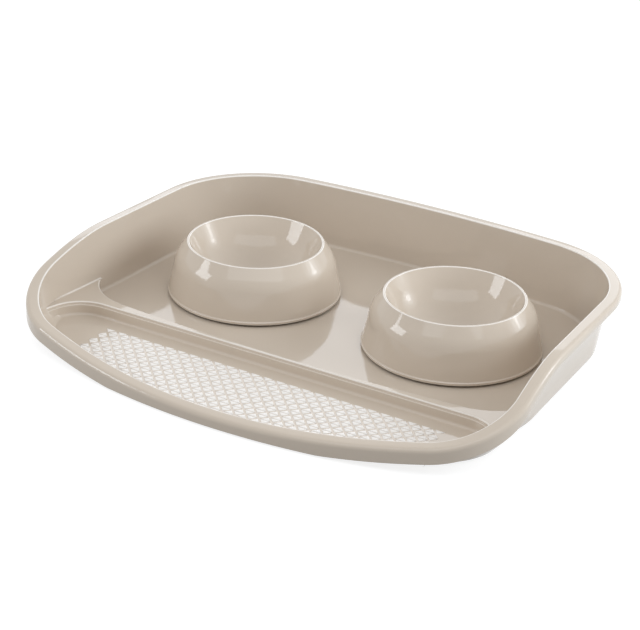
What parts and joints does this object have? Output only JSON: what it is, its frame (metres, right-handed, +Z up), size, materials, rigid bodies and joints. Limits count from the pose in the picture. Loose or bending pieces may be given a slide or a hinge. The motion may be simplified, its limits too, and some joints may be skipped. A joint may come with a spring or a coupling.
{
  "type": "double pet bowl",
  "caption": "Moulded plastic pet feeding tray with a sweeping rim and a raised divider, holding round lift-out bowls for food and water.",
  "frame": {"origin": "middle of the tray's footprint, on the surface that its rubber pads stand on", "axes": "+Z up, +X to the right along the tray's width, -Y to the low front edge, +Y to the high back wall"},
  "size_m": [0.4696, 0.3898, 0.062],
  "materials": {
    "tray_plastic": "glossy warm grey-beige moulded plastic",
    "bowl_plastic": "glossy warm grey-beige moulded plastic",
    "foot_rubber": "matt grey-brown soft rubber"
  },
  "bodies": {
    "tray_body": {"tray": "tray_plastic", "tray_foot_front_left": "foot_rubber", "tray_foot_front_right": "foot_rubber", "tray_foot_back_left": "foot_rubber", "tray_foot_back_right": "foot_rubber"},
    "bowl_left_body": {"bowl_left": "bowl_plastic", "bowl_left_foot_front_left": "foot_rubber", "bowl_left_foot_front_right": "foot_rubber", "bowl_left_foot_back_left": "foot_rubber", "bowl_left_foot_back_right": "foot_rubber"},
    "bowl_right_body": {"bowl_right": "bowl_plastic", "bowl_right_foot_front_left": "foot_rubber", "bowl_right_foot_front_right": "foot_rubber", "bowl_right_foot_back_left": "foot_rubber", "bowl_right_foot_back_right": "foot_rubber"}
  },
  "joints": [
    {"name": "bowl_left_lift", "type": "slide", "parent": "tray_body", "child": "bowl_left_body", "axis": [0, 0, 1], "range_m": [0, 0.1]},
    {"name": "bowl_right_lift", "type": "slide", "parent": "tray_body", "child": "bowl_right_body", "axis": [0, 0, 1], "range_m": [0, 0.1]}
  ]
}
